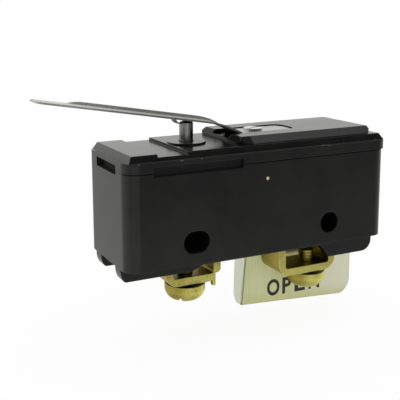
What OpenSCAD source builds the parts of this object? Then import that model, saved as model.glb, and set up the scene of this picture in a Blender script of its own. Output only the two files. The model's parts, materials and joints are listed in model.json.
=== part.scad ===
// Large basic snap-action switch: a spring leaf lever over a pin plunger, two brass screw terminals below.
// Origin: on the axis of the round mounting hole, in the middle of the width. +X along the housing away
// from the lever's tip, +Y to the rear face, +Z up.

/* [Housing] */
// Length of the housing, end to end
body_len = 49.2; // [48.4:0.1:54]
// Width of the housing, face to face
body_wid = 17.45; // [17:0.05:22]
// Axis of the round hole to the right end
end_reach = 12.07; // [11.8:0.01:14]
// Hole axes down to the underside of the base
base_drop = 3.74; // [3.5:0.01:5]
// Hole axes up to the parting plane
base_rise = 11.77; // [11.6:0.01:14]
// Radius of the upright corners
corner_r = 2.4; // [1:0.1:3.2]
// Side and end walls of the base
wall = 2.2; // [1.8:0.1:2.4]
// Floor of the base above the mounting holes
floor_t = 1.4; // [1:0.1:1.6]
// Hole axes up to the mould's witness line
witness_rise = 5.82; // [4:0.01:8]
// How far the right end draws in above that line
witness_step = 0.2; // [0.1:0.05:0.3]

/* [Mounting holes] */
// Distance between the two hole axes
hole_pitch = 25.4; // [24.8:0.1:26.4]
// Diameter of the round hole and width of the slot
hole_d = 3.6; // [3.2:0.05:3.8]
// Length of the slot along the housing
slot_len = 4.6; // [4:0.1:5]

/* [Feet] */
// Outer face of the two skirt walls, from the middle plane
skirt_out = 5.5; // [5:0.05:6.5]
// Inner face of the skirt walls at the left foot
skirt_in = 3.2; // [3.15:0.05:3.8]
// Skirt's inset from the right end of the housing
skirt_inset = 0.2; // [0.1:0.1:0.5]
// Height of the left foot
left_foot_h = 2.2; // [1.8:0.02:3]
// Height of the right foot
right_foot_h = 3.74; // [3:0.02:4.2]
// Height of the skirt between the feet
mid_skirt_h = 1.36; // [0.8:0.02:1.6]
// Length of the left foot along its sole
left_foot_len = 12.6; // [9:0.1:14]
// Length of the right foot along its sole
right_foot_len = 9.3; // [7:0.1:10]
// Length of each ramp up to the middle skirt
foot_ramp = 1.9; // [1:0.1:3]
// Rounding of the left foot's outer end, along the foot
left_foot_run = 0.95; // [0.5:0.05:1.6]
// Rounding of the left foot's outer end, up the foot
left_foot_rise = 2.0; // [1:0.1:2.2]
// Rounding of the right foot's outer end
right_foot_r = 2.0; // [1:0.1:2.2]

/* [Cover] */
// Upright rim of the cover
rim_h = 1.58; // [1.4:0.02:1.9]
// Overhang of the rim past the base at the right end
rim_over = 0.4; // [0:0.1:0.8]
// Width of the flat ledge on top of the rim
ledge = 0.7; // [0.4:0.05:0.9]
// Rim's outer face to the top edge of the bevel above the ledge
bevel_in = 1.3; // [1.1:0.05:1.35]
// Height of the sunken deck beside the plunger above the parting plane
deck_h = 2.2; // [2:0.02:2.5]
// Height of the cover's top above that deck
land_step = 0.45; // [0.3:0.05:0.8]
// Length of the end land
land_len = 5.64; // [4:0.02:6]
// Length of the sunken deck
deck_len = 5.2; // [4:0.02:5.4]
// Thickness of the sunken deck over the hollow
deck_t = 1.1; // [0.8:0.05:1.3]
// Depth of the lip inside the base
lip_h = 1.2; // [0.8:0.1:1.3]
// Thickness of that lip
lip_t = 0.9; // [0.6:0.1:1.2]
// Gap between the lip and the base
lip_gap = 0.08; // [0.05:0.01:0.2]
// Radius of the round guide pad under the plunger
pad_r = 3.25; // [2.6:0.05:3.35]
// Height of the guide pad above the cover's top
pad_step = 0.28; // [0.1:0.02:0.4]
// Flare of the pin's hole at the top of the pad
hole_flare = 0.22; // [0.1:0.02:0.3]

/* [Lever hump] */
// Height of the hump above the cover's top
hump_h = 1.3; // [1.1:0.05:1.6]
// Slotted hole's axis to the hump's nose
hump_start = 8.7; // [8.4:0.01:9.2]
// Right end of the hump from the end of the housing
hump_end = 2.2; // [1.6:0.1:3]
// Width of the hump's flat top
hump_wid = 12.4; // [11:0.1:12.5]
// Width of the bevel along the hump's sides
hump_bevel = 1.15; // [0.6:0.05:1.15]
// Radius of the hump's upright corners
hump_r = 1.6; // [1.2:0.1:2.4]
// Depth of the pocket for the lever's tail
pocket_h = 0.5; // [0.45:0.05:0.8]
// Room round the tail in its pocket
pocket_gap = 0.25; // [0.15:0.05:0.4]

/* [Pry slots] */
// Height of each slot below the parting plane
pry_low = 0.65; // [0.4:0.05:0.8]
// Height of each slot above the parting plane
pry_high = 0.9; // [0.6:0.05:1.2]
// Depth of the slots
pry_deep = 1.1; // [0.6:0.1:1.4]
// Left end of the housing to the slot in the front face
pry_start = 4.4; // [3:0.1:5]
// Length of the slot in the front face
pry_len = 15.85; // [10:0.05:18]
// Width of the slot in the left end
pry_wid = 8.4; // [5:0.1:10]

/* [Leaf lever] */
// Width of the leaf
leaf_wid = 5.2; // [4.4:0.1:6]
// Thickness of the leaf
leaf_t = 0.3; // [0.2:0.05:0.4]
// Plunger axis to the tip of the leaf
leaf_reach = 25.73; // [18:0.01:32]
// Slope of the leaf out of its pocket
root_angle = 26; // [24:0.5:27]
// Slope of the long blade
blade_angle = 9.84; // [9:0.02:11]
// Plunger axis to the root bend
root_run = 9.67; // [9.5:0.01:10.2]
// Plunger axis to the crown, where the steep root becomes the blade
crown_off = 5.47; // [5.2:0.01:5.6]
// Root bend to the end of the tail
tail_len = 9.9; // [8:0.1:10.4]
// Height of the stiffening flange along the rear edge
flange_h = 0.45; // [0.3:0.05:0.7]
// Length of the plain tip beyond the flange
tip_plain = 6.0; // [4:0.1:8]

/* [Plunger] */
// Slotted hole's axis to the plunger axis
plunger_off = 2.53; // [2.3:0.01:2.8]
// Diameter of the pin
pin_d = 2.3; // [2:0.05:2.6]
// Radial clearance of the pin in the cover
pin_gap = 0.04; // [0.02:0.01:0.08]
// Diameter of the insulating button on the pin
button_d = 4.2; // [4:0.1:4.4]

/* [Terminals] */
// Width of the brass straps
strap_wid = 6.0; // [5:0.1:6.2]
// Thickness of the brass straps
strap_t = 1.35; // [1.2:0.05:1.4]
// Slotted hole's axis to the common screw
common_off = 2.1; // [2:0.01:2.3]
// Round hole's axis to the screw of the open circuit
open_off = 1.54; // [1.3:0.01:1.7]
// Depth of the common strap's bar below the base
common_drop = 4.12; // [3.6:0.02:5]
// Depth of the open strap's bar below the base
open_drop = 5.75; // [5:0.05:7]
// Outer bend radius of the straps
strap_r = 2.3; // [1.8:0.1:2.4]
// Inner bend radius of the straps
bend_in = 0.5; // [0.3:0.1:0.8]

/* [Terminal screws] */
// Diameter of the thread
thread_d = 2.6; // [2.4:0.1:3.2]
// Radial clearance of the thread in the strap
thread_gap = 0.04; // [0.02:0.01:0.08]
// Diameter of the head
head_d = 7.0; // [6:0.1:7.1]
// Height of the head
head_h = 2.95; // [2.6:0.05:3.2]
// Rounding of the head's lower edge
head_round = 2.2; // [1.6:0.1:2.4]
// Gap left under the head
head_gap = 0.4; // [0.3:0.05:0.8]
// Length of thread above the bar
thread_up = 2.1; // [1.6:0.1:2.4]

/* [Insulating sheet] */
// Thickness of the sheet
sheet_t = 0.3; // [0.2:0.05:0.35]
// Gap between the sheet and the screw's head
sheet_gap = 0.28; // [0.2:0.01:0.3]
// Depth of the sheet below the base at its left end
sheet_drop = 14.0; // [12:0.1:16]
// Lengthwise fall of the sheet's lower edge
sheet_fall = 1.6; // [0:0.1:2]
// Overhang of the sheet past the end of the housing
sheet_over = 2.6; // [1:0.1:3]
// Open screw's axis to the lower end of the fold in the sheet
sheet_fold = 11.4; // [10:0.1:12]
// Lean of the fold, its lower end to the left
fold_lean = 5.4; // [0:0.2:8]
// Depth of the folded wing at its top
wing_len = 4.2; // [3.6:0.1:4.4]
// Depth of the folded wing at its foot
wing_foot = 3.0; // [2:0.1:3.6]

/* [Contact works] */
// Thickness of the magnet beside the contacts
magnet_t = 1.7; // [1.2:0.05:2]
// Thickness of the brass brackets on the floor
bracket_t = 1.0; // [0.8:0.05:1.2]
// Travel of the moving contact
contact_gap = 1.7; // [1.4:0.05:2]
// Thickness of the contact arm
arm_t = 0.8; // [0.6:0.05:1]
// Height of the arm's knife edge above the floor
arm_rise = 5.0; // [4.8:0.05:5.2]
// Diameter of the contacts
contact_d = 3.0; // [2.6:0.1:3.4]
// Thickness of the return leaf
return_t = 0.3; // [0.2:0.05:0.4]
// Coils of the toggle spring
toggle_turns = 7; // [6:1:8]

/* [Hidden] */
$fn = 48;

// Small overlap that lets a cut or a joined shape pass its neighbour's face
past = 0.5;
// Gap between parts that seat on each other
seat = 0.05;

left_end = end_reach - body_len;
half_wid = body_wid / 2;
slot_x = -hole_pitch;
pin_x = slot_x + plunger_off;
floor_z = hole_d / 2 + floor_t;
// The sheet hangs clear of the screw's head and lies against the rear skirt
sheet_y = head_d / 2 + sheet_gap;
skirt_in_right = sheet_y + sheet_t + seat;
in_left = left_end + wall;
in_right = end_reach - wall;
in_half = half_wid - wall;

rim_z = base_rise + rim_h;
deck_z = base_rise + deck_h;
land_z = deck_z + land_step;
pad_z = land_z + pad_step;
ceiling_z = deck_z - deck_t;
hump_z = land_z + hump_h;
nose_x = slot_x + hump_start;
hump_right = end_reach - hump_end;
// Upper bevel of the nose, along and down
nose_run = 0.85;
nose_drop = 1.05;
// Upright wall under the bevels of the hump's sides, and the bevel of its right end
hump_wall = 0.15;
hump_heel = 0.45;

pocket_z = hump_z - pocket_h;
pocket_half = leaf_wid / 2 + pocket_gap;
pocket_r = 1.6;
// Fall of the pocket's floor towards the nose
ramp_drop = 0.17;
root_x = pin_x + root_run;
tail_x = root_x + tail_len;
tip_x = pin_x - leaf_reach;
// Radii of the leaf's two bends and the steps that draw them
root_r = 3;
crown_r = 20;
bend_steps = 6;
tail_r = 1.4;
tip_r = 1.3;
flange_t = 0.35;

// Root bend to the screw that holds the tail
screw_back = 3.2;
lever_screw_x = root_x + screw_back;
lever_screw_r = 0.95;
lever_head_d = 3.3;
lever_head_h = 0.42;
insert_r = 1.6;

// Height of the pin's domed end, and the gap that it keeps below the leaf
pin_dome = 0.35;
pin_top_gap = 0.08;
collar_d = 3.6;
collar_h = 0.6;
stem_d = 1.6;
button_h = 1.8;

common_x = slot_x + common_off;
// Outer faces of each strap's legs, left and right of the screw
common_legs = [4.95, 5.35];
open_legs = [7.7, 4.25];
leg_gap = 0.06;
// How far the short leg goes into the base
short_leg = 1.3;
// Lug at the front of the common strap's right end: its drop, width and depth
lug_h = 0.8;
lug_wid = 0.55;
lug_deep = 0.7;
// How far the common strap's bar stops short of its right leg, and the rounding of that leg's foot
bar_short = 1.0;
leg_foot_r = 0.8;

common_bar_z = -base_drop - common_drop;
open_bar_z = -base_drop - open_drop;

bracket_z = floor_z + bracket_t;
// Gap between neighbours inside the case
works_gap = 0.08;
end_gap = 0.3;
magnet_y = in_half - seat - magnet_t;
bracket_half = magnet_y - works_gap;
bracket_edge = 0.9;
anchor_x = in_left + end_gap;
anchor_wid = 6;
anchor_run = 5;
anchor_post = 1.2;
// Edge of the anchor step to the rivet
rivet_back = 2;
anchor_rivet_x = anchor_x + anchor_run - rivet_back;
return_wid = 4.8;
return_neck = 3.4;
return_r = 0.8;

// Plunger axis to the knife edges
knife_off = 5.75;
knife_x = pin_x + knife_off;
knife_z = floor_z + arm_rise;
knife_in = 3.3;
knife_t = 1.3;
knife_notch = 0.5;
knife_top = 0.9;
// Contact's axis to the arm's end and to its cross bar
arm_nose = 2;
arm_tongue = 6.5;
arm_bar = 2;
arm_half = 2.5;
arm_r = 1.2;
arm_taper = 1;
arm_end = open_off + arm_nose;
arm_bar_x = open_off - arm_tongue;
arm_low = knife_z - arm_t / 2;
contact_h = 0.8;
// Upset heads of the two rivets
rivet_rim = 0.6;
upset_rim = 0.4;
upset_h = 0.25;
open_contact_z = arm_low - contact_h - contact_gap;
rivet_r = 0.75;
spring_wire = 0.36;
spring_d = 2.2;
// Metal left beyond each hook hole
hook_edge = 0.8;
// Plunger axis to the hook hole in the return leaf
hook_off = 2.5;
hook_left = pin_x + hook_off;
hook_right = arm_bar_x + hook_edge;
hook_hole_r = 0.42;

// Extrudes a profile drawn in X and Z along Y
module along_y(y0, y1) {
    translate([0, y1, 0])
        rotate([90, 0, 0])
            linear_extrude(y1 - y0)
                children();
}

// Extrudes a profile drawn in Y and Z along X
module along_x(x0, x1) {
    translate([x0, 0, 0])
        rotate([90, 0, 90])
            linear_extrude(x1 - x0)
                children();
}

// Rectangle from x0 to x1 with round corners, centred on the length axis
module plate(x0, x1, wid, r) {
    translate([x0 + r, -wid / 2])
        square([x1 - x0 - 2 * r, wid]);
    translate([x0, r - wid / 2])
        square([x1 - x0, wid - 2 * r]);
    for (x = [x0 + r, x1 - r], side = [-1, 1])
        translate([x, side * (wid / 2 - r)])
            circle(r);
}

// Block between two corners
module block(low, high) {
    translate(low)
        cube(high - low);
}

// Upright cylinder from z0 to z1
module post(x, y, r, z0, z1) {
    translate([x, y, z0])
        cylinder(r = r, h = z1 - z0);
}

// Room for a strap's leg, from the underside of the base up to z
module leg_slot(x0, z) {
    block([x0 - leg_gap, -strap_wid / 2 - leg_gap, -base_drop - past],
          [x0 + strap_t + leg_gap, strap_wid / 2 + leg_gap, z]);
}

// Side view of the skirt: two soles joined by a shallow middle
module skirt_side() {
    x0 = left_end;
    x1 = end_reach - skirt_inset;
    left_toe = x0 + left_foot_len;
    right_toe = x1 - right_foot_len;
    top = -base_drop + past;
    sole_left = -base_drop - left_foot_h;
    sole_right = -base_drop - right_foot_h;
    middle = -base_drop - mid_skirt_h;
    heel = [
        for (a = [0:15:90])
            [x0 + left_foot_run * (1 - cos(a)), sole_left + left_foot_rise * (1 - sin(a))]
    ];
    difference() {
        polygon(concat([[x0, top]], heel, [
            [left_toe, sole_left], [left_toe + foot_ramp, middle], [right_toe - foot_ramp, middle],
            [right_toe, sole_right], [x1, sole_right], [x1, top]
        ]));
        corner_cut(x1, sole_right, right_foot_r);
    }
}

// What a round corner takes off a profile's lower right end
module corner_cut(x, z, r) {
    difference() {
        translate([x - r, z - past])
            square([r + past, r + past]);
        translate([x - r, z + r])
            circle(r);
    }
}

module skirts() {
    split_x = (slot_x + open_off) / 2;
    for (side = [0, 1])
        mirror([0, side, 0])
            difference() {
                along_y(skirt_in, skirt_out)
                    skirt_side();
                block([split_x, 0, -base_drop - right_foot_h - past],
                      [end_reach + past, skirt_in_right, -base_drop]);
            }
}

// The pry slots at the parting plane, in the front face and in the left end
module pry_slots() {
    z0 = base_rise - pry_low;
    z1 = base_rise + pry_high;
    front_left = left_end + pry_start;
    block([front_left, -half_wid - past, z0], [front_left + pry_len, -half_wid + pry_deep, z1]);
    block([left_end - past, -pry_wid / 2, z0], [left_end + pry_deep, pry_wid / 2, z1]);
}

module mounting_holes() {
    reach = half_wid + past;
    swing = (slot_len - hole_d) / 2;
    along_y(-reach, reach)
        circle(d = hole_d);
    for (side = [-1, 1])
        along_y(-reach, reach)
            translate([slot_x + side * swing, 0])
                circle(d = hole_d);
    block([slot_x - swing, -reach, -hole_d / 2], [slot_x + swing, reach, hole_d / 2]);
}

// What the mould's draft takes off the right end, from the witness line up
module end_draft() {
    along_y(-half_wid - past, half_wid + past)
        polygon([
            [end_reach, base_rise + past], [end_reach, base_rise], [end_reach - witness_step, witness_rise],
            [end_reach + past, witness_rise], [end_reach + past, base_rise + past]
        ]);
}

module base() {
    color("#1e1e20")
        difference() {
            union() {
                translate([0, 0, -base_drop])
                    linear_extrude(base_drop + base_rise)
                        plate(left_end, end_reach, body_wid, corner_r);
                skirts();
            }
            end_draft();
            translate([0, 0, floor_z])
                linear_extrude(base_rise)
                    plate(in_left, in_right, 2 * in_half, corner_r / 2);
            mounting_holes();
            pry_slots();
            leg_slot(common_x - common_legs[0], -base_drop + short_leg + seat);
            leg_slot(common_x + common_legs[1] - strap_t, floor_z + past);
            leg_slot(open_off - open_legs[0], floor_z + past);
            leg_slot(open_off + open_legs[1] - strap_t, floor_z + past);
        }
}

// Side view of the cover: rim, ledges, end bevels and the sunken deck between the end land and the plunger
module cover_side() {
    right = end_reach + rim_over;
    land_end = left_end + land_len;
    deck_end = land_end + deck_len;
    polygon([
        [left_end, base_rise], [left_end, rim_z], [left_end + ledge, rim_z], [left_end + bevel_in, land_z],
        [land_end, land_z], [land_end, deck_z], [deck_end, deck_z], [deck_end, land_z],
        [right - bevel_in, land_z], [right - ledge, rim_z], [right, rim_z], [right, base_rise]
    ]);
}

// End view of the cover with its ledges and bevels
module cover_end() {
    polygon([
        [-half_wid, base_rise], [-half_wid, rim_z], [ledge - half_wid, rim_z], [bevel_in - half_wid, land_z],
        [half_wid - bevel_in, land_z], [half_wid - ledge, rim_z], [half_wid, rim_z], [half_wid, base_rise]
    ]);
}

module cover_shell() {
    intersection() {
        translate([0, 0, base_rise])
            linear_extrude(land_z)
                plate(left_end, end_reach + rim_over, body_wid, corner_r);
        along_y(-half_wid, half_wid)
            cover_side();
        along_x(left_end, end_reach + rim_over)
            cover_end();
    }
}

// What the pin's hole takes out of the cover, with its flare
module pin_hole() {
    r = pin_d / 2 + pin_gap;
    post(pin_x, 0, r, ceiling_z - past, pad_z + past);
    translate([pin_x, 0, pad_z - hole_flare])
        cylinder(r1 = r, r2 = r + 2 * hole_flare, h = 2 * hole_flare);
}

// Raised hump that carries the lever: bevelled sides, nose and heel, round upright corners
module hump() {
    low = land_z - past;
    foot = land_z + hump_wall;
    half = hump_wid / 2;
    wide = half + hump_bevel;
    intersection() {
        along_y(-wide, wide)
            polygon([
                [nose_x, low], [nose_x, hump_z - nose_drop], [nose_x + nose_run, hump_z],
                [hump_right - hump_heel, hump_z], [hump_right, foot], [hump_right, low]
            ]);
        along_x(nose_x, hump_right)
            polygon([
                [-wide, low], [-wide, foot], [-half, hump_z],
                [half, hump_z], [wide, foot], [wide, low]
            ]);
        translate([0, 0, low])
            linear_extrude(hump_z)
                plate(nose_x, hump_right, 2 * wide, hump_r);
    }
}

// Pocket for the lever's tail, with a shallow ramp under the root so that the leaf can bend
module tail_pocket() {
    notch_z = pocket_z - ramp_drop;
    translate([0, 0, pocket_z])
        linear_extrude(hump_z)
            plate(nose_x - pocket_r - past, tail_x + pocket_gap, 2 * pocket_half, pocket_r);
    along_y(-pocket_half, pocket_half)
        polygon([
            [nose_x - past, notch_z], [nose_x, notch_z], [root_x + leaf_t, pocket_z], [nose_x - past, hump_z]
        ]);
}

module cover() {
    color("#232325")
        difference() {
            union() {
                cover_shell();
                post(pin_x, 0, pad_r, land_z - past, pad_z);
                hump();
                translate([0, 0, base_rise - lip_h])
                    linear_extrude(lip_h + past)
                        plate(in_left + lip_gap, in_right - lip_gap, 2 * (in_half - lip_gap), corner_r / 2);
            }
            translate([0, 0, base_rise - lip_h - past])
                linear_extrude(ceiling_z - base_rise + lip_h + past)
                    plate(in_left + lip_gap + lip_t, in_right - lip_gap - lip_t,
                          2 * (in_half - lip_gap - lip_t), corner_r / 4);
            pin_hole();
            post(lever_screw_x, 0, insert_r + seat, ceiling_z - past, pocket_z + past);
            tail_pocket();
            pry_slots();
        }
}

// Heading of the leaf, and the normal on its upper side, at an angle of climb
function heading(a) = [-cos(a), sin(a)];
function upper(a) = [sin(a), cos(a)];

// Points [x, z, angle] round a bend of radius r at corner p
function bend(p, a0, a1, r) =
    let (
        side = sign(a1 - a0),
        start = p - r * tan(abs(a1 - a0) / 2) * heading(a0),
        at = function (a) -side * r * upper(a)
    )
    [
        for (i = [0:bend_steps])
            let (a = a0 + (a1 - a0) * i / bend_steps, q = start + at(a) - at(a0))
            [q.x, q.y, a]
    ];

crown_x = pin_x + crown_off;
crown_z = pocket_z + (root_x - crown_x) * tan(root_angle);
// Height of the leaf's underside on its long blade
function blade_z(x) = crown_z + (crown_x - x) * tan(blade_angle);
// The wide bend at the crown: its tangent length, ends and centre
crown_t = crown_r * tan((root_angle - blade_angle) / 2);
arc_start_x = crown_x - crown_t * heading(root_angle).x;
arc_end = [crown_x, crown_z] + crown_t * heading(blade_angle);
arc_centre = arc_end - crown_r * upper(blade_angle);
// Height of the leaf's underside anywhere left of its root
function leaf_z(x) =
    x < arc_end.x ? blade_z(x)
    : x < arc_start_x ? arc_centre.y + sqrt(crown_r * crown_r - (x - arc_centre.x) * (x - arc_centre.x))
    : pocket_z + (root_x - x) * tan(root_angle);

// The leaf's underside from the end of the tail to the tip
leaf_path = concat(
    [[tail_x, pocket_z, 0]],
    bend([root_x, pocket_z], 0, root_angle, root_r),
    bend([crown_x, crown_z], root_angle, blade_angle, crown_r),
    [[tip_x, blade_z(tip_x), blade_angle]]
);

// Side view of the leaf
module leaf_side() {
    count = len(leaf_path);
    low = [for (p = leaf_path) [p.x, p.y]];
    high = [for (i = [count - 1:-1:0]) let (p = leaf_path[i]) [p.x, p.y] + leaf_t * upper(p.z)];
    polygon(concat(low, high));
}

// Side view of the rear flange: full height along the blade, falling away at both ends
module flange_side() {
    start = arc_start_x;
    end = tip_x + tip_plain;
    steps = 24;
    // Shares of the length over which it rises and falls
    lead_in = 0.1;
    run_out = 0.06;
    rise = function (u) flange_h * min(1, sqrt(u / lead_in), (1 - u) / run_out);
    xs = [for (i = [0:steps]) start + (end - start) * i / steps];
    low = [for (x = xs) [x, leaf_z(x) + leaf_t / 2]];
    high = [for (i = [steps:-1:0]) [xs[i], leaf_z(xs[i]) + leaf_t + rise(i / steps)]];
    polygon(concat(low, high));
}

// Curled tongue under the leaf that keeps the pin's head from walking
module pin_tongue() {
    r = 1.15;
    thick = 0.2;
    wide = 1.6;
    tongue_gap = 0.12;
    cx = pin_x - pin_d / 2 - tongue_gap;
    along_y(-wide / 2, wide / 2)
        translate([cx, leaf_z(cx - r) + leaf_t / 2])
            difference() {
                intersection() {
                    circle(r);
                    translate([-r, -r])
                        square(r);
                }
                circle(r - thick);
            }
}

module leaf_lever() {
    half = leaf_wid / 2;
    color("#9b9b98")
        difference() {
            union() {
                intersection() {
                    along_y(-half, half)
                        leaf_side();
                    translate([0, 0, pocket_z - past])
                        linear_extrude(leaf_reach) {
                            plate(tip_x, pin_x, leaf_wid, tip_r);
                            plate(pin_x - 2 * tail_r, tail_x, leaf_wid, tail_r);
                        }
                }
                along_y(half - flange_t, half)
                    flange_side();
                pin_tongue();
            }
            post(lever_screw_x, 0, lever_screw_r + pocket_gap, pocket_z - past, pocket_z + past);
        }
}

// Slot across a screw's head
module driver_slot(wid, deep, long, angle) {
    rotate([0, 0, angle])
        block([-long, -wid / 2, 0], [long, wid / 2, deep]);
}

module lever_screw() {
    z = pocket_z + leaf_t;
    slot_wid = 0.5;
    slot_deep = 0.25;
    color("#d8d8d6")
        difference() {
            union() {
                post(lever_screw_x, 0, lever_head_d / 2, z, z + lever_head_h);
                post(lever_screw_x, 0, lever_screw_r, ceiling_z + past, z + past / 2);
            }
            translate([lever_screw_x, 0, z + lever_head_h - slot_deep])
                driver_slot(slot_wid, slot_deep + past, lever_head_d, 25);
        }
}

module lever_insert() {
    color("#b59a4a")
        difference() {
            post(lever_screw_x, 0, insert_r, ceiling_z, pocket_z);
            post(lever_screw_x, 0, lever_screw_r + seat, ceiling_z - past, pocket_z + past);
        }
}

pin_top = leaf_z(pin_x) - pin_top_gap;
collar_top = ceiling_z - seat;
stem_top = collar_top - collar_h;
button_top = stem_top - seat;
button_low = button_top - button_h;
return_z = button_low - seat - return_t;

// Turned steel pin: domed end, stop collar below the cover and a stem for the button
module pin_plunger() {
    r = pin_d / 2;
    dome_r = (r * r + pin_dome * pin_dome) / (2 * pin_dome);
    color("#8f8f8c")
        translate([pin_x, 0, 0]) {
            post(0, 0, r, collar_top - past, pin_top - pin_dome);
            intersection() {
                post(0, 0, r, pin_top - 2 * pin_dome, pin_top);
                translate([0, 0, pin_top - dome_r])
                    sphere(dome_r);
            }
            post(0, 0, collar_d / 2, stem_top, collar_top);
            post(0, 0, stem_d / 2, button_low + button_h / 3 + seat, stem_top + past);
        }
}

// Moulded button that keeps the pin off the live leaf
module plunger_button() {
    crown = 0.5;
    crown_in = 1.2;
    color("#3a2a20")
        translate([pin_x, 0, 0])
            difference() {
                union() {
                    post(0, 0, button_d / 2, button_low + crown, button_top);
                    translate([0, 0, button_low])
                        cylinder(r1 = button_d / 2 - crown_in, r2 = button_d / 2, h = crown);
                }
                post(0, 0, stem_d / 2 + seat / 2, button_low + button_h / 3, button_top + past);
            }
}

// Rectangle with round lower corners
module tub(x0, x1, low, high, r) {
    translate([x0, low + r])
        square([x1 - x0, high - low - r]);
    translate([x0 + r, low])
        square([x1 - x0 - 2 * r, high - low]);
    for (x = [x0 + r, x1 - r])
        translate([x, low + r])
            circle(r);
}

// Side view of a bent strap: two legs and a bar with round bends
module strap_side(legs, bar_z, left_top, right_top) {
    x0 = -legs[0];
    x1 = legs[1];
    low = bar_z - strap_t;
    shoulder = low + strap_r;
    difference() {
        tub(x0, x1, low, shoulder + past, strap_r);
        tub(x0 + strap_t, x1 - strap_t, bar_z, shoulder + strap_r + past, bend_in);
    }
    translate([x0, shoulder])
        square([strap_t, left_top - shoulder]);
    translate([x1 - strap_t, shoulder])
        square([strap_t, right_top - shoulder]);
}

module strap(x, legs, bar_z, left_top, right_top) {
    difference() {
        along_y(-strap_wid / 2, strap_wid / 2)
            translate([x, 0])
                strap_side(legs, bar_z, left_top, right_top);
        post(x, 0, thread_d / 2 + thread_gap, bar_z - strap_t - past, bar_z + past);
    }
}

module common_strap() {
    low = common_bar_z - strap_t;
    leg_out = common_x + common_legs[1];
    bar_end = leg_out - bar_short;
    front = -strap_wid / 2;
    color("#b3a04a") {
        difference() {
            strap(common_x, common_legs, common_bar_z, short_leg - base_drop, bracket_z);
            along_y(front - past, -front + past) {
                translate([bar_end, low - past])
                    square([bar_short + past, strap_t + past]);
                corner_cut(leg_out, common_bar_z, leg_foot_r);
            }
        }
        block([bar_end - lug_wid, front, low - lug_h], [bar_end, front + lug_deep, common_bar_z]);
    }
}

module open_strap() {
    color("#b3a04a")
        strap(open_off, open_legs, open_bar_z, bracket_z, bracket_z);
}

// Half of a terminal screw's head, hanging below the axis: an upright band and a round edge
module head_side() {
    r = head_d / 2;
    flat = r - head_round;
    translate([0, head_round - head_h])
        square([r, head_h - head_round]);
    translate([0, -head_h])
        square([flat, head_h]);
    translate([flat, head_round - head_h])
        intersection() {
            circle(head_round);
            translate([0, -head_round])
                square(head_round);
        }
}

// Terminal screw that hangs head down, with its head's flat side at z
module terminal_screw(x, bar_z, angle) {
    z = bar_z - strap_t - head_gap;
    slot_wid = 1.0;
    slot_deep = 1.0;
    color("#b8a24c")
        translate([x, 0, 0])
            difference() {
                union() {
                    translate([0, 0, z])
                        rotate_extrude()
                            head_side();
                    post(0, 0, thread_d / 2, z - past, bar_z + thread_up);
                }
                translate([0, 0, z - head_h - past])
                    driver_slot(slot_wid, slot_deep + past, head_d, angle);
            }
}

module common_screw() {
    terminal_screw(common_x, common_bar_z, 43);
}

module open_screw() {
    terminal_screw(open_off, open_bar_z, 120);
}

// The sheet's fold at its lower end, and the level of the sheet's lower left corner
fold_x = open_off - sheet_fold;
sheet_low = -base_drop - sheet_drop;

// Outline of the hanging sheet's main panel, seen from the front
module sheet_panel() {
    right = end_reach + sheet_over;
    top = -base_drop - seat;
    low_right = sheet_low - sheet_fall;
    fold_top = fold_x + (top - sheet_low) * tan(fold_lean);
    corner = 3;
    difference() {
        polygon([[fold_top, top], [fold_x, sheet_low], [right, low_right], [right, top]]);
        difference() {
            translate([right - corner, low_right - past])
                square([corner + past, corner + past]);
            translate([right - corner, low_right + corner])
                circle(corner);
        }
        translate([end_reach - 2 * skirt_inset, top - right_foot_h])
            square([sheet_over + 2 * skirt_inset + past, right_foot_h + past]);
    }
}

// Outline of the folded wing, seen from the left and measured up from its foot
module sheet_wing() {
    skirt_gap = 0.3;
    high = (sheet_drop - mid_skirt_h - skirt_gap) / cos(fold_lean);
    heel = sheet_y + wing_foot;
    chamfer = 1.2;
    polygon([
        [sheet_y, high], [sheet_y, 0], [heel - chamfer, 0], [heel, chamfer], [sheet_y + wing_len, high]
    ]);
}

module insulating_sheet() {
    color("#d9d7ae") {
        along_y(sheet_y, sheet_y + sheet_t)
            sheet_panel();
        translate([fold_x, 0, sheet_low])
            rotate([0, fold_lean, 0])
                along_x(0, sheet_t)
                    sheet_wing();
    }
}

// Brass bracket of the common circuit: floor plate, anchor step and two knife-edge posts
module common_bracket() {
    end = knife_x + knife_t;
    leg_x = common_x + common_legs[1] - strap_t;
    color("#b59a4a")
        difference() {
            union() {
                block([anchor_x, -bracket_half, floor_z], [end, bracket_half, bracket_z]);
                along_y(-anchor_wid / 2, anchor_wid / 2)
                    polygon([
                        [anchor_x, floor_z], [anchor_x, return_z], [anchor_x + anchor_run, return_z],
                        [anchor_x + anchor_run, return_z - bracket_t],
                        [anchor_x + anchor_post, return_z - bracket_t], [anchor_x + anchor_post, floor_z]
                    ]);
                for (side = [0, 1])
                    mirror([0, side, 0])
                        along_y(knife_in, bracket_half)
                            knife_post();
            }
            leg_slot(leg_x, bracket_z + past);
            post(anchor_rivet_x, 0, rivet_r + seat, return_z - bracket_t - past, return_z + past);
        }
}

// Side view of a knife-edge post with its notch
module knife_post() {
    notch = knife_notch;
    top = knife_z + knife_top;
    polygon([
        [knife_x - knife_t, floor_z], [knife_x - knife_t, top], [knife_x + notch, top],
        [knife_x + notch, knife_z + notch], [knife_x, knife_z], [knife_x + notch, knife_z - notch],
        [knife_x + notch, floor_z]
    ]);
}

module anchor_rivet() {
    x = anchor_rivet_x;
    low = return_z - bracket_t;
    high = return_z + return_t;
    color("#b59a4a") {
        post(x, 0, rivet_r, low - past / 2, high + past / 2);
        post(x, 0, rivet_r + rivet_rim, high, high + rivet_rim);
        post(x, 0, rivet_r + rivet_rim, low - rivet_rim, low);
    }
}

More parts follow.
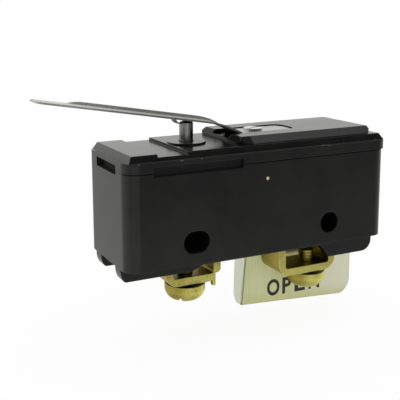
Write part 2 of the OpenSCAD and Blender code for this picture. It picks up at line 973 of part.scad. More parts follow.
// Flat spring that lifts the plunger and drives the toggle spring
module return_leaf() {
    end = hook_left + hook_edge;
    color("#c08a4e")
        difference() {
            translate([0, 0, return_z])
                linear_extrude(return_t) {
                    plate(anchor_x + end_gap, pin_x + return_r, return_wid, return_r);
                    plate(pin_x - return_r, end, return_neck, return_r);
                }
            post(anchor_rivet_x, 0, rivet_r + seat, return_z - past, return_z + past);
            post(hook_left, coil_r, hook_hole_r, return_z - past, return_z + past);
        }
}

// Side view of the arm with its knife edge
module arm_side() {
    tip = knife_x + seat;
    polygon([
        [tip, knife_z], [tip + arm_taper, knife_z + arm_t / 2], [arm_end, knife_z + arm_t / 2],
        [arm_end, knife_z - arm_t / 2], [tip + arm_taper, knife_z - arm_t / 2]
    ]);
}

// Forked arm that rocks on the knife edges and carries the moving contact
module contact_arm() {
    color("#c08a4e")
        difference() {
            intersection() {
                along_y(-bracket_half, bracket_half)
                    arm_side();
                translate([0, 0, knife_z - arm_t])
                    linear_extrude(2 * arm_t) {
                        for (y = [knife_in, -bracket_half])
                            translate([knife_x, y])
                                square([arm_bar_x + arm_bar - knife_x, bracket_half - knife_in]);
                        translate([arm_bar_x, -bracket_half])
                            square([arm_bar, 2 * bracket_half]);
                        plate(arm_bar_x, arm_end, 2 * arm_half, arm_r);
                    }
            }
            post(open_off, 0, rivet_r + seat, arm_low - past, knife_z + past);
            post(hook_right, coil_r, hook_hole_r, arm_low - past, knife_z + past);
        }
}

module moving_contact() {
    high = knife_z + arm_t / 2;
    color("#c9c9c4") {
        post(open_off, 0, contact_d / 2, arm_low - contact_h, arm_low);
        post(open_off, 0, rivet_r, arm_low - past / 2, high + upset_h / 2);
        post(open_off, 0, rivet_r + upset_rim, high, high + upset_h);
    }
}

// The spring's coil runs from the hole in the return leaf to the hole in the arm, where its wire is upright
coil_steps = 12;
wire_sides = 6;
// Steps that each end of the wire runs on past its hole
coil_more = 2;
coil_r = (spring_d - spring_wire) / 2;
coil_start = [hook_left, 0, return_z + return_t / 2];
coil_run = [hook_right, 0, knife_z] - coil_start;
coil_tilt = atan2(coil_run.z, coil_run.x);
function coil_point(i, k) =
    let (
        u = i / (coil_steps * toggle_turns),
        turn = 360 * i / coil_steps,
        a = 360 * k / wire_sides,
        r = coil_r + spring_wire / 2 * cos(a)
    )
    [u * norm(coil_run) + spring_wire / 2 * sin(a), r * cos(turn), r * sin(turn)];

// Tension spring between the return leaf and the arm
module toggle_spring() {
    rings = coil_steps * toggle_turns + 2 * coil_more;
    sides = wire_sides;
    points = [for (i = [0:rings], k = [0:sides - 1]) coil_point(i - coil_more, k)];
    walls = [
        for (i = [0:rings - 1], k = [0:sides - 1])
            let (n = (k + 1) % sides, j = i + 1)
            each [
                [i * sides + k, i * sides + n, j * sides + n],
                [i * sides + k, j * sides + n, j * sides + k]
            ]
    ];
    caps = [[for (k = [sides - 1:-1:0]) k], [for (k = [0:sides - 1]) rings * sides + k]];
    color("#a9a9a6")
        translate(coil_start)
            rotate([0, -coil_tilt, 0])
                polyhedron(points, concat(walls, caps));
}

module open_bracket() {
    left = open_off - open_legs[0];
    right = open_off + open_legs[1];
    edge = bracket_edge;
    color("#b59a4a")
        difference() {
            block([left - edge, -bracket_half, floor_z], [right + edge, bracket_half, bracket_z]);
            leg_slot(left, bracket_z + past);
            leg_slot(right - strap_t, bracket_z + past);
        }
}

module open_contact() {
    color("#c9c9c4")
        post(open_off, 0, contact_d / 2 + works_gap, bracket_z, open_contact_z);
}

// Bent stop that the arm rests against while the lever is free
module closed_stop() {
    low = knife_z + arm_t / 2 + upset_h + seat;
    right = in_right - end_gap;
    left = open_off - contact_d / 2 - end_gap;
    half = 2.2;
    foot_x = open_off + open_legs[1] + bracket_edge + end_gap;
    color("#b59a4a")
        along_y(-half, half)
            polygon([
                [left, low], [left, low + bracket_t], [right, low + bracket_t], [right, floor_z],
                [foot_x, floor_z], [foot_x, bracket_z], [right - bracket_t, bracket_z],
                [right - bracket_t, low]
            ]);
}

module blowout_magnet() {
    half_len = 2.8;
    high = 5.4;
    color("#4a4a4d")
        block([open_off - half_len, magnet_y, floor_z],
              [open_off + half_len, magnet_y + magnet_t, floor_z + high]);
}

base();
cover();
leaf_lever();
lever_screw();
lever_insert();
pin_plunger();
plunger_button();
common_strap();
common_screw();
open_strap();
open_screw();
insulating_sheet();
common_bracket();
anchor_rivet();
return_leaf();
contact_arm();
moving_contact();
toggle_spring();
open_bracket();
open_contact();
closed_stop();
blowout_magnet();
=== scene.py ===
"""Basic snap-action switch with a leaf lever: finishes, threads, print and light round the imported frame."""
import json

import bmesh
import bpy
from mathutils import Matrix, Vector


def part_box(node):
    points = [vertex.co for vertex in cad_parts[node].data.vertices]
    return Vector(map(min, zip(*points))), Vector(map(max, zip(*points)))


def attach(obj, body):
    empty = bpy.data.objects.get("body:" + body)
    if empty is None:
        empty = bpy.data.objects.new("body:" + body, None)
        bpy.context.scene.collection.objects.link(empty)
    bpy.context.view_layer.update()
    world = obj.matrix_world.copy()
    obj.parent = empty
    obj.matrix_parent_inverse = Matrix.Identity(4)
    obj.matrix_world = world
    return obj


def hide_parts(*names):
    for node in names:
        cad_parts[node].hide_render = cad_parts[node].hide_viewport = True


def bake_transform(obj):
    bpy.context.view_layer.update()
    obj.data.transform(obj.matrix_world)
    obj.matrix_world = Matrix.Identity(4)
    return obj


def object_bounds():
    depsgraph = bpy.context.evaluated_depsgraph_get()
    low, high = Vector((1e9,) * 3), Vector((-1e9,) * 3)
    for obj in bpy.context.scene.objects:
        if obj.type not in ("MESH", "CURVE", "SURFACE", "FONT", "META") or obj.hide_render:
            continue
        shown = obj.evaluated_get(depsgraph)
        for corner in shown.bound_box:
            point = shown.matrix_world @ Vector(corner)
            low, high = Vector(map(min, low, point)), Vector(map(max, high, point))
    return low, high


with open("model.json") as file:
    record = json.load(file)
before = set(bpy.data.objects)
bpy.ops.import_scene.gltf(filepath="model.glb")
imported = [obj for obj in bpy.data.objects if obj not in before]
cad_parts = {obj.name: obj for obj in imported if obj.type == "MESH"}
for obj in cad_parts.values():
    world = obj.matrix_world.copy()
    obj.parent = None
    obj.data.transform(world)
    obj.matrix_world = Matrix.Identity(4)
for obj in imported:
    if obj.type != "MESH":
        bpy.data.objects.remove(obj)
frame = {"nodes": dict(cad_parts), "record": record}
CAD_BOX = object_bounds()
MM = 0.001
WHITE = (1.0, 1.0, 1.0)

# Places taken from the frame, in metres
MOUNTS = {mount["name"]: mount for mount in frame["record"]["mounts"]}
JOINTS = {joint["name"]: joint for joint in frame["record"]["behaviour"]["joints"]}
HOLE_R = MOUNTS["round_hole"]["dims"]["r_mm"] * MM
SLOT_X = MOUNTS["slotted_hole"]["pos_m"][0]
HOUSING_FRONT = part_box("base")[0].y
HOUSING_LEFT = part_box("base")[0].x
LEAF_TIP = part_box("leaf_lever")[0].x
LEAF_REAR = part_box("leaf_lever")[1].y
SHEET_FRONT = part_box("insulating_sheet")[0].y

# Where each spring is held, and where its free part begins
LEAF_ROOT = Vector(JOINTS["lever_flex"]["pos_m"])
LEAF_HELD = LEAF_ROOT + Vector((2.6, 0, 0)) * MM
LEAF_FREE = LEAF_ROOT - Vector((3.4, 0, 0)) * MM
RETURN_HELD = Vector(JOINTS["return_flex"]["pos_m"])
RETURN_FREE = RETURN_HELD + Vector((3, 0, 0)) * MM
HOOK_LEFT, HOOK_RIGHT = 1.2 * MM, 0.6 * MM
TOGGLE_LEFT = Vector((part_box("toggle_spring")[0].x + HOOK_LEFT, 0, RETURN_HELD.z))
TOGGLE_RIGHT = Vector((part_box("toggle_spring")[1].x - HOOK_RIGHT, 0, JOINTS["arm_rock"]["pos_m"][2]))
TOGGLE_MIDDLE = (TOGGLE_LEFT + TOGGLE_RIGHT) / 2

# Case: half the slotted hole's extra length, mould lines, pry slots, nose of the hump, dot of paint
SLOT_SWING = 0.5 * MM
WITNESS_Z = 5.82 * MM
PARTING_Z = 11.77 * MM
RIM_Z = 13.35 * MM
PRY_LOW, PRY_HIGH = PARTING_Z - 0.7 * MM, PARTING_Z + 0.95 * MM
PRY_LEFT, PRY_RIGHT = -32.78 * MM, -16.83 * MM
PRY_HALF = 4.25 * MM
PRY_REACH = 2.2 * MM
NOSE_LEFT, NOSE_RIGHT = -16.9 * MM, -14.3 * MM
NOSE_LOW, NOSE_HIGH = 14.4 * MM, 15.65 * MM
PAINT_DOT = Vector((-12.43, 0, 8.96)) * MM
PAINT_DOT_R = 0.27 * MM

# Terminals: the one to the right of this place is cleaner
TERMINALS_MID = -12 * MM
SHANK_R = 1.3 * MM

# Sheet: thickness, fold, fall of its lower edge, patch of painted shadow behind the strap, printed letters
SHEET_T = 0.3 * MM
FOLD_FOOT = Vector((-9.86, 0, -17.74)) * MM
FOLD_LEAN = 0.0945
EDGE_FALL = 0.0652
STRAP_SHADOW_LEFT, STRAP_SHADOW_RIGHT = -4.4 * MM, 4.2 * MM
STRAP_SHADOW_Z = -9.3 * MM
LETTERS_LOW, LETTERS_HIGH = -17.10 * MM, -13.90 * MM
LETTER_SPANS_MM = {"O": (-4.29, -1.56), "P": (-0.91, 1.05), "E": (1.84, 4.25), "N": (5.06, 7.59)}


# Node trees written as expressions

# Rays that feel for edges and for shelter at each point of a surface
PROBES = 8


class Val:
    """A socket that adds Math nodes when it is used in an expression."""

    def __init__(self, tree, socket):
        self.tree = tree
        self.socket = socket

    def _math(self, operation, *values):
        return self.tree.node("ShaderNodeMath", {"operation": operation}, values)

    def __add__(self, other):
        return self._math("ADD", self, other)

    def __radd__(self, other):
        return self._math("ADD", other, self)

    def __sub__(self, other):
        return self._math("SUBTRACT", self, other)

    def __rsub__(self, other):
        return self._math("SUBTRACT", other, self)

    def __mul__(self, other):
        return self._math("MULTIPLY", self, other)

    def __rmul__(self, other):
        return self._math("MULTIPLY", other, self)

    def __pow__(self, other):
        return self._math("POWER", self, other)

    def __abs__(self):
        return self._math("ABSOLUTE", self)

    def least(self, other):
        return self._math("MINIMUM", self, other)

    def most(self, other):
        return self._math("MAXIMUM", self, other)

    def above(self, edge, soft):
        """0 below the edge, 1 above it, with a soft step of that width."""
        sockets = {"Value": self, "From Min": edge - soft / 2, "From Max": edge + soft / 2}
        return self.tree.node("ShaderNodeMapRange", {"interpolation_type": "SMOOTHSTEP"}, sockets)

    def band(self, low, high, soft):
        """1 between low and high, 0 outside."""
        return self.above(low, soft) * (1 - self.above(high, soft))


class Tree:
    """A node tree, built node by node."""

    def __init__(self, tree):
        self.tree = tree
        tree.nodes.clear()

    def node(self, kind, settings=(), sockets=(), out=0):
        """Adds a node: its settings, then its sockets by name or in order. Returns one output, if any."""
        made = self.tree.nodes.new(kind)
        for key, value in dict(settings).items():
            setattr(made, key, value)
        pairs = sockets.items() if isinstance(sockets, dict) else enumerate(sockets)
        for key, value in pairs:
            if isinstance(value, Val):
                self.tree.links.new(value.socket, made.inputs[key])
            elif made.inputs[key].type == "RGBA":
                made.inputs[key].default_value = (*value, 1)
            else:
                made.inputs[key].default_value = value
        return Val(self, made.outputs[out]) if made.outputs else None

    def all_outputs(self, kind, sockets=()):
        """Adds a node with its usual settings and returns all its outputs."""
        made = self.node(kind, (), sockets).socket.node
        return [Val(self, socket) for socket in made.outputs]

    def axes(self, vector):
        """A vector's x, y and z."""
        return self.all_outputs("ShaderNodeSeparateXYZ", [vector])

    def rays(self):
        """What the light path says of the ray that arrives, by name."""
        return {val.socket.name: val for val in self.all_outputs("ShaderNodeLightPath")}

    def mix(self, factor, first, second):
        """Mixes two colours. The Mix node has them at sockets 6 and 7 and at output 2."""
        return self.node("ShaderNodeMix", {"data_type": "RGBA"}, {0: factor, 6: first, 7: second}, out=2)


class Finish(Tree):
    """A material."""

    def __init__(self, name):
        self.material = bpy.data.materials.new(name)
        self.material.use_nodes = True
        super().__init__(self.material.node_tree)

    def place(self):
        """The surface's place in the part's own frame, in metres."""
        return self.node("ShaderNodeTexCoord", out="Object")

    def stretched(self, vector, scale):
        """The same place with each axis scaled, which draws a noise out into streaks."""
        return self.node("ShaderNodeMapping", {"vector_type": "POINT"}, {"Vector": vector, "Scale": scale})

    def noise(self, vector, scale, detail=3.0, rough=0.55):
        sockets = {"Vector": vector, "Scale": scale, "Detail": detail, "Roughness": rough}
        return self.node("ShaderNodeTexNoise", {"noise_dimensions": "3D"}, sockets)

    def rounded(self, edge_r):
        """The way the surface faces when its edges are rounded to this radius."""
        return self.node("ShaderNodeBevel", {"samples": PROBES}, {"Radius": edge_r})

    def bump(self, height, distance, edge_r):
        """Relief on top of edges that are rounded to this radius."""
        sockets = {"Strength": 0.7, "Distance": distance, "Height": height, "Normal": self.rounded(edge_r)}
        return self.node("ShaderNodeBump", (), sockets)

    def sheltered(self, reach):
        """0 in the open, 1 where other surfaces crowd in within this reach."""
        kind = "ShaderNodeAmbientOcclusion"
        return 1 - self.node(kind, {"samples": PROBES}, {"Distance": reach}, out="AO")

    def surface(self, **sockets):
        """Ends the material in a Principled shader."""
        names = {key.replace("_", " "): value for key, value in sockets.items()}
        self.end(self.node("ShaderNodeBsdfPrincipled", (), names))
        return self.material

    def end(self, shader):
        self.node("ShaderNodeOutputMaterial", (), {"Surface": shader})


# Finishes

def in_cross_holes(x, y, z):
    """1 inside the round and the slotted cross hole."""
    along_slot = (abs(x - SLOT_X) - SLOT_SWING).most(0)
    off_axis = ((x * x + z * z) ** 0.5).least((along_slot * along_slot + z * z) ** 0.5)
    behind_faces = 1 - abs(y).above(-HOUSING_FRONT - 0.3 * MM, 0.3 * MM)
    return (1 - off_axis.above(HOLE_R + 0.02 * MM, 0.03 * MM)) * behind_faces


def in_pry_slots(x, y, z):
    """1 inside the pry slots of the front and of the left end."""
    skin = 0.15 * MM
    behind_front = y.band(HOUSING_FRONT + skin, HOUSING_FRONT + PRY_REACH, 0.1 * MM)
    behind_left = x.band(HOUSING_LEFT + skin, HOUSING_LEFT + PRY_REACH, 0.1 * MM)
    front = x.band(PRY_LEFT, PRY_RIGHT, 0.05 * MM) * behind_front
    left = (1 - abs(y).above(PRY_HALF, 0.05 * MM)) * behind_left
    return front.most(left) * z.band(PRY_LOW, PRY_HIGH, 0.05 * MM)


def on_paint_dot(x, y, z):
    """1 on the dot of paint on the front."""
    off_dot = ((x - PAINT_DOT.x) ** 2 + (z - PAINT_DOT.z) ** 2) ** 0.5
    on_front = 1 - y.above(HOUSING_FRONT + 0.05 * MM, 0.02 * MM)
    return (1 - off_dot.above(PAINT_DOT_R, 0.1 * MM)) * on_front


def moulded_black():
    """Black phenolic: a soft gloss with faint orange peel, paler towards the bottom, dull in its slots,
    painted shade in its holes, seam, tight corners and nose, and one dot of cream paint.
    """
    p = Finish("moulded_black")
    at = p.place()
    x, y, z = p.axes(at)
    cloud = p.noise(at, 160.0, 4.0)
    grain = p.noise(at, 2600.0, 2.0)
    in_hole = in_cross_holes(x, y, z)
    in_pry = in_pry_slots(x, y, z)
    painted = on_paint_dot(x, y, z)
    # A dark joint line between base and cover, with painted shade in its gap
    seam_and_shade = z.band(PARTING_Z - 0.16 * MM, PARTING_Z + 0.03 * MM, 0.06 * MM) * (1 - in_pry)
    witness = z.band(WITNESS_Z - 0.06 * MM, WITNESS_Z + 0.06 * MM, 0.08 * MM)
    flecks = p.noise(at, 700.0, 4.0).above(0.64, 0.05)
    worn = z.band(RIM_Z - 0.10 * MM, RIM_Z + 0.04 * MM, 0.04 * MM) * flecks
    # Painted shade on the hump's nose
    nose_shade = x.band(NOSE_LEFT, NOSE_RIGHT, 0.5 * MM) * z.band(NOSE_LOW, NOSE_HIGH, 0.15 * MM)
    # Painted shade in tight corners, where other surfaces crowd in
    corner_shade = p.sheltered(1.6 * MM) * (1 - in_pry)
    # Paler towards the bottom
    paler_low = 1 - z.above(4 * MM, 16 * MM)
    body = p.mix(cloud.above(0.5, 0.4) * 0.5 + paler_low * 0.5 + witness * 0.3,
                 (0.0026, 0.0025, 0.0026), (0.0100, 0.0098, 0.0090))
    body = p.mix(worn * 0.5, body, (0.16, 0.16, 0.155))
    # Painted shade: the holes and the seam's gap are darker
    body = p.mix(in_hole.most(seam_and_shade), body, (0.0012, 0.0012, 0.0012))
    body = p.mix(in_pry, body, (0.013, 0.013, 0.0135))
    return p.surface(
        Base_Color=p.mix(painted, body, (0.58, 0.52, 0.24)),
        # A black metal throws nothing back: it paints shade into the seam, holes, tight corners and nose
        Metallic=(seam_and_shade * 0.8).most(in_hole * 0.6).most(corner_shade * 0.9).most(nose_shade * 0.85),
        Roughness=(0.15 + cloud * 0.10 + grain * 0.04).most(in_hole.most(in_pry) * 0.9).most(painted * 0.5),
        Normal=p.bump(grain * 0.35 + cloud * 0.6 - witness * 0.4, 0.006 * MM, 0.16 * MM),
        IOR=1.5,
    )


def rolled_steel(name, dark, light, rough, stretch, wash=None):
    """Rolled or ground steel with fine lines along its grain. A wash alters its colour in places."""
    p = Finish(name)
    at = p.place()
    lines = p.noise(p.stretched(at, stretch), 1.0, 3.0)
    cloud = p.noise(at, 300.0, 3.0)
    metal = p.mix((lines * 0.7 + cloud * 0.3).above(0.5, 0.5), dark, light)
    return p.surface(
        Base_Color=wash(p, at, metal) if wash else metal,
        Metallic=1.0,
        Roughness=rough + lines * 0.10 + cloud * 0.08,
        Normal=p.bump(lines, 0.004 * MM, 0.05 * MM),
    )


def leaf_highlight_wash(p, at, metal):
    """The leaf's wash: bright at its tip and its tail, darker in between, with a painted highlight on its
    turned-up rear edge.
    """
    x, y = p.axes(at)[:2]
    edge = y.above(LEAF_REAR - 0.45 * MM, 0.1 * MM)
    darker_middle = x.above(LEAF_TIP + 13 * MM, 16 * MM) * (1 - x.above(LEAF_ROOT.x - 3 * MM, 4 * MM))
    metal = p.mix(darker_middle * (1 - edge) * 0.6, metal, (0.14, 0.14, 0.125))
    # Painted highlight on the turned-up rear edge
    return p.mix(edge, metal, p.mix(darker_middle, (0.97, 0.97, 0.94), (0.78, 0.78, 0.73)))


def stamped_brass():
    """Yellow brass with a matt grain and bright edges, partly worn and partly a painted highlight, with
    painted shade in shelter and on sides that face left.
    """
    p = Finish("stamped_brass")
    at = p.place()
    cloud = p.noise(at, 420.0, 4.0)
    grain = p.noise(at, 3500.0, 3.0)
    cleaner = p.axes(at)[0].above(TERMINALS_MID, 6 * MM)
    polish = (cloud * 0.5 + grain * 0.5).above(0.5, 0.24) * (1 - cleaner * 0.5) + cleaner * 0.5
    facing = p.node("ShaderNodeNewGeometry", out="Normal")
    rounded = p.rounded(0.16 * MM)
    flat = p.node("ShaderNodeVectorMath", {"operation": "DOT_PRODUCT"}, [facing, rounded], out="Value")
    worn_and_highlit_edge = (1 - flat).above(0.05, 0.08)
    left_side_shade = 1 - p.axes(facing)[0].above(-0.5, 0.8)
    clean = p.mix(polish, (0.70, 0.60, 0.125), (1.0, 0.93, 0.28))
    # Painted shade on sides that face left
    clean = p.mix(left_side_shade * 0.8, clean, (0.38, 0.29, 0.05))
    # Edges lightened by wear and by a painted highlight
    clean = p.mix(worn_and_highlit_edge * 0.7, clean, (1.0, 0.97, 0.60))
    return p.surface(
        # Painted shade where other surfaces crowd in
        Base_Color=p.mix(p.sheltered(5 * MM), clean, (0.16, 0.10, 0.01)),
        Metallic=1.0,
        Roughness=0.26 + cloud * 0.14 + grain * 0.06,
        Normal=p.bump(grain * 0.5 + cloud * 0.5, 0.02 * MM, 0.14 * MM),
    )


def milky_sheet():
    """Translucent straw-yellow sheet: upright streaks, painted shade along its crease and where parts crowd
    near, a pale wing and a painted shadow behind the strap.
    """
    p = Finish("milky_sheet")
    at = p.place()
    x, y, z = p.axes(at)
    streak = p.noise(p.stretched(at, (2600.0, 2600.0, 60.0)), 1.0, 4.0)
    cloud = p.noise(at, 220.0, 3.0)
    wing = y.above(SHEET_FRONT + SHEET_T + 0.1 * MM, 0.2 * MM)
    fold = FOLD_FOOT.x + (z - FOLD_FOOT.z) * FOLD_LEAN
    # Painted shade along the fold's crease
    crease_shade = (1 - abs(x - fold - 0.1 * MM).above(0.11 * MM, 0.08 * MM)) * (1 - wing)
    above_edge = z - FOLD_FOOT.z + (x - FOLD_FOOT.x) * EDGE_FALL
    tint = p.mix((streak * 0.6 + cloud * 0.4).above(0.5, 0.3), (0.76, 0.83, 0.49), (0.88, 0.95, 0.64))
    tint = p.mix(x.above(5 * MM, 14 * MM), tint, (0.95, 1.0, 0.88))
    tint = p.mix((1 - above_edge.above(0.9 * MM, 1.8 * MM)) * 0.6, tint, (0.88, 0.92, 0.46))
    # Painted shade where the strap, its screw and the skirt crowd in
    tint = p.mix(p.sheltered(3.5 * MM) * 0.75, tint, (0.44, 0.38, 0.13))
    # Painted shadow of the strap on the sheet behind it
    strap_shadow = x.band(STRAP_SHADOW_LEFT, STRAP_SHADOW_RIGHT, 0.6 * MM) * z.above(STRAP_SHADOW_Z, 0.8 * MM)
    tint = p.mix(strap_shadow * 0.9, tint, (0.10, 0.07, 0.01))
    tint = p.mix(wing, tint, (0.88, 0.90, 0.76))
    return p.surface(
        Base_Color=p.mix(crease_shade * 0.8, tint, (0.16, 0.16, 0.06)),
        Roughness=0.34 + cloud * 0.15,
        Normal=p.bump(streak, 0.008 * MM, 0.08 * MM),
        Transmission_Weight=0.75,
        IOR=1.45,
    )


def printed_ink():
    """Brown-black print, a little worn."""
    p = Finish("printed_ink")
    wear = p.noise(p.place(), 1500.0, 3.0)
    return p.surface(
        Base_Color=p.mix(wear, (0.020, 0.019, 0.012), (0.050, 0.047, 0.032)),
        Roughness=0.5 + wear * 0.2,
    )


def sealed_works(name, colour, rough, metallic):
    """Finish of a piece that is sealed in the case: its colour with faint stains."""
    p = Finish(name)
    stain = p.noise(p.place(), 500.0, 3.0)
    dark = tuple(c * 0.7 for c in colour)
    return p.surface(
        Base_Color=p.mix(stain, dark, colour),
        Metallic=metallic,
        Roughness=rough + stain * 0.15,
    )


black = moulded_black()
leaf_steel = rolled_steel("leaf_steel", (0.50, 0.50, 0.48), (0.66, 0.66, 0.635), rough=0.34,
                          stretch=(60.0, 2400.0, 2400.0), wash=leaf_highlight_wash)
pin_steel = rolled_steel("pin_steel", (0.14, 0.14, 0.13), (0.46, 0.46, 0.435), rough=0.12,
                         stretch=(2600.0, 2600.0, 80.0))
bright_plate = rolled_steel("bright_plate", (0.45, 0.45, 0.46), (0.92, 0.92, 0.92), rough=0.06,
                            stretch=(900.0, 900.0, 900.0))
brass = stamped_brass()
sheet = milky_sheet()
ink = printed_ink()
copper = sealed_works("spring_copper", (0.60, 0.33, 0.15), rough=0.25, metallic=1.0)
silver = sealed_works("contact_silver", (0.72, 0.71, 0.68), rough=0.25, metallic=1.0)
inner_brass = sealed_works("inner_brass", (0.62, 0.50, 0.18), rough=0.28, metallic=1.0)
magnet = sealed_works("sintered_magnet", (0.06, 0.06, 0.065), rough=0.55, metallic=0.0)
button = sealed_works("button_brown", (0.07, 0.04, 0.03), rough=0.4, metallic=0.0)

FINISHES = {
    black: ["base", "cover"],
    leaf_steel: ["leaf_lever", "toggle_spring"],
    pin_steel: ["pin_plunger"],
    bright_plate: ["lever_screw"],
    brass: ["common_strap", "common_screw", "open_strap", "open_screw"],
    sheet: ["insulating_sheet"],
    button: ["plunger_button"],
    copper: ["return_leaf", "contact_arm"],
    silver: ["moving_contact", "open_contact"],
    inner_brass: ["lever_insert", "common_bracket", "anchor_rivet", "open_bracket", "closed_stop"],
    magnet: ["blowout_magnet"],
}
for finish, names in FINISHES.items():
    for name in names:
        slots = frame["nodes"][name].data.materials
        slots.clear()
        slots.append(finish)


def new_piece(name, mesh, material):
    """A mesh as an object of the scene, in one material."""
    piece = bpy.data.objects.new(name, mesh)
    bpy.context.scene.collection.objects.link(piece)
    mesh.materials.clear()
    mesh.materials.append(material)
    return piece


def plain_mesh(thing):
    """What an object looks like once its modifiers or its letters are worked out."""
    bpy.context.scene.collection.objects.link(thing)
    mesh = bpy.data.meshes.new_from_object(thing.evaluated_get(bpy.context.evaluated_depsgraph_get()))
    bpy.data.objects.remove(thing)
    return mesh


# Pieces

def bending_spring(name, node, held, free, strips, half=False):
    """A copy of a spring, cut across in strips between its held point and its free point.
    A half spring ends at its held point."""
    weld = 1e-7
    on_plane = 1e-8
    mesh = frame["nodes"][node].data.copy()
    shape = bmesh.new()
    shape.from_mesh(mesh)
    bmesh.ops.remove_doubles(shape, verts=shape.verts, dist=weld)
    for i in range(strips + 1):
        whole = shape.verts[:] + shape.edges[:] + shape.faces[:]
        cut = bmesh.ops.bisect_plane(shape, geom=whole, dist=on_plane, plane_co=held.lerp(free, i / strips),
                                     plane_no=(free.x - held.x, 0, 0), clear_inner=half and i == 0)
        if half and i == 0:
            rim = [edge for edge in cut["geom_cut"] if isinstance(edge, bmesh.types.BMEdge)]
            bmesh.ops.holes_fill(shape, edges=rim)
    shape.to_mesh(mesh)
    shape.free()
    piece = new_piece(name, mesh, frame["nodes"][node].data.materials[0])
    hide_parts(node)
    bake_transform(piece)


def thread_tree():
    """A ridge that winds up a screw's shank."""
    group = bpy.data.node_groups.new("screw_thread", "GeometryNodeTree")
    for label in ("Radius", "Length", "Turns", "Ridge"):
        group.interface.new_socket(label, in_out="INPUT", socket_type="NodeSocketFloat")
    group.interface.new_socket("Place", in_out="INPUT", socket_type="NodeSocketVector")
    group.interface.new_socket("Finish", in_out="INPUT", socket_type="NodeSocketMaterial")
    group.interface.new_socket("Geometry", in_out="OUTPUT", socket_type="NodeSocketGeometry")
    t = Tree(group)
    radius, length, turns, ridge, place, finish = t.all_outputs("NodeGroupInput")[:6]
    path = t.node("GeometryNodeCurveSpiral", (), {
        "Resolution": 24, "Rotations": turns, "Height": length,
        "Start Radius": radius, "End Radius": radius})
    section = t.node("GeometryNodeCurvePrimitiveCircle", (), {"Resolution": 6, "Radius": ridge})
    wound = t.node("GeometryNodeCurveToMesh", (), {
        "Curve": path, "Profile Curve": section, "Fill Caps": True})
    moved = t.node("GeometryNodeTransform", (), {"Geometry": wound, "Translation": place})
    real = t.node("GeometryNodeRealizeInstances", (), [moved])
    painted = t.node("GeometryNodeSetMaterial", (), {"Geometry": real, "Material": finish})
    t.node("NodeGroupOutput", (), [painted])
    return group


def screw_thread(tree, node, body):
    """The thread on a terminal screw's shank, from under its head to its end."""
    low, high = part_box(node)
    ridge = 0.14 * MM
    ridge_sunk = ridge * 0.4
    end_gap = ridge * 1.2
    length = 5.0 * MM
    turns = 10.0
    sizes = {
        "Radius": SHANK_R - ridge_sunk, "Length": length, "Turns": turns, "Ridge": ridge, "Finish": brass,
        "Place": ((low.x + high.x) / 2, (low.y + high.y) / 2, high.z - length - end_gap),
    }
    holder = bpy.data.objects.new(node + "_thread_maker", bpy.data.meshes.new(node + "_thread_maker"))
    maker = holder.modifiers.new("maker", "NODES")
    maker.node_group = tree
    for item in tree.interface.items_tree:
        if item.in_out == "INPUT":
            maker[item.identifier] = sizes[item.name]
    thread = new_piece(node + "_thread", plain_mesh(holder), brass)
    for face in thread.data.polygons:
        face.use_smooth = True
    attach(thread, body)


def sheet_letter(letter, left, right):
    """One letter of the word printed on the sheet's front. The line of print falls a little to the right."""
    fall = 0.012
    ink_t = 0.012 * MM
    bold = 0.03
    type_face = bpy.data.curves.new("letter_" + letter, "FONT")
    type_face.body = letter
    type_face.offset = bold
    mesh = plain_mesh(bpy.data.objects.new("letter_maker", type_face))
    flat = [v.co.copy() for v in mesh.vertices]
    x0, x1 = min(c.x for c in flat), max(c.x for c in flat)
    z0, z1 = min(c.y for c in flat), max(c.y for c in flat)
    for v, c in zip(mesh.vertices, flat):
        across = left + (c.x - x0) / (x1 - x0) * (right - left)
        up = LETTERS_LOW + (c.y - z0) / (z1 - z0) * (LETTERS_HIGH - LETTERS_LOW) - fall * across
        v.co = (across, SHEET_FRONT - ink_t, up)
    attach(new_piece("letter_" + letter, mesh, ink), "housing")


bending_spring("bending_leaf", "leaf_lever",
               LEAF_HELD, LEAF_FREE, strips=20)
bending_spring("bending_return_leaf", "return_leaf",
               RETURN_HELD, RETURN_FREE, strips=10)
# The toggle spring is cut at its middle into two halves: one towards the return leaf, the other towards the
# arm
bending_spring("toggle_spring_left", "toggle_spring",
               TOGGLE_MIDDLE, TOGGLE_LEFT, strips=1, half=True)
bending_spring("toggle_spring_right", "toggle_spring",
               TOGGLE_MIDDLE, TOGGLE_RIGHT, strips=1, half=True)
threads = thread_tree()
screw_thread(threads, "common_screw", "common_clamp")
screw_thread(threads, "open_screw", "open_clamp")
for letter, (left, right) in LETTER_SPANS_MM.items():
    sheet_letter(letter, left * MM, right * MM)


# Camera, floor and light

def aim_camera():
    """The photograph's view: a long lens from the left front, a little above."""
    place = Vector((-77.843, -110.691, 36.045)) * MM
    right = Vector((0.907757, -0.419357, -0.010794))
    up = Vector((0.078804, 0.145189, 0.986273))
    lens = bpy.data.cameras.new("camera")
    lens.sensor_fit = "HORIZONTAL"
    lens.sensor_width = 36.0
    lens.lens = 68.036
    lens.shift_x = 0.09059
    lens.shift_y = -0.15819
    lens.clip_start = 0.001
    camera = bpy.data.objects.new("camera", lens)
    bpy.context.scene.collection.objects.link(camera)
    turn = Matrix((right, up, right.cross(up))).transposed().to_4x4()
    camera.matrix_world = Matrix.Translation(place) @ turn
    bpy.context.scene.camera = camera


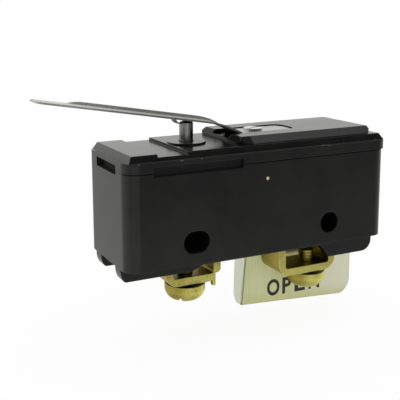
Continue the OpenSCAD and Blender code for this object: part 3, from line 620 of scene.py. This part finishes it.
def lay_floor():
    """White floor that keeps a soft shadow of the switch."""
    gap = 0.2 * MM
    reach = 4.0
    p = Finish("floor_white")
    ray = p.rays()
    seen = ray["Is Camera Ray"].most(ray["Is Glossy Ray"]).most(ray["Is Transmission Ray"])
    matt = p.node("ShaderNodeBsdfDiffuse", (), {"Color": (0.95, 0.95, 0.95)})
    glow = p.node("ShaderNodeEmission", (), {"Color": WHITE, "Strength": 1.0})
    p.end(p.node("ShaderNodeMixShader", (), [seen * 0.93, matt, glow]))
    shape = bmesh.new()
    low = CAD_BOX[0][2] - gap
    corners = ((-reach, -reach), (reach, -reach), (reach, reach), (-reach, reach))
    shape.faces.new([shape.verts.new((x, y, low)) for x, y in corners])
    mesh = bpy.data.meshes.new("floor")
    shape.to_mesh(mesh)
    shape.free()
    floor = new_piece("floor", mesh, p.material)
    floor.visible_glossy = False


def light_studio():
    """A white room, dimmer towards the viewer, with soft light from overhead."""
    world = bpy.data.worlds.new("studio")
    world.use_nodes = True
    bpy.context.scene.world = world
    p = Tree(world.node_tree)
    ray = p.rays()
    x, y, z = p.axes(p.node("ShaderNodeTexCoord", out="Generated"))
    backdrop = (y - 0.6 * z).above(-0.25, 0.7)
    ceiling = z.above(0.80, 0.16) * x.above(0.05, 0.5)
    far_right = x.above(0.42, 0.16)
    skirting = 1 - z.above(-0.02, 0.12)
    near = p.mix(z.above(0.25, 0.9), (0.28, 0.28, 0.272), (0.09, 0.09, 0.088))
    near = p.mix(ceiling, near, (0.30, 0.30, 0.30))
    table = x.band(-0.8, 0.1, 0.3) * z.band(-0.45, 0.0, 0.2) * (1 - y.above(-0.3, 0.4))
    near = p.mix(table, near, (0.56, 0.56, 0.55))
    room = p.mix(backdrop * (1 - 0.45 * skirting) * (1 - 0.13 * far_right), near, (1.0, 1.0, 0.965))
    under = p.mix(z.above(-0.65, 0.4), (0.42, 0.42, 0.41), (0.8, 0.8, 0.78))
    room = p.mix(z.above(-0.42, 0.3), under, room)
    room = p.mix(ray["Is Diffuse Ray"], room, (0.87, 0.87, 0.87))
    white = ray["Is Camera Ray"].most(ray["Is Transmission Ray"])
    room = p.mix(white, room, WHITE)
    glow = p.node("ShaderNodeBackground", (), {"Color": room, "Strength": 1.0})
    p.node("ShaderNodeOutputWorld", (), {"Surface": glow})
    lamp = bpy.data.lights.new("overhead", "SUN")
    lamp.energy = 0.4
    lamp.angle = 0.9
    hung = bpy.data.objects.new("overhead", lamp)
    hung.rotation_euler = Vector((-0.30, 0.10, -0.95)).to_track_quat("-Z", "Y").to_euler()
    bpy.context.scene.collection.objects.link(hung)


aim_camera()
lay_floor()
light_studio()
bpy.context.scene.view_settings.view_transform = "Standard"
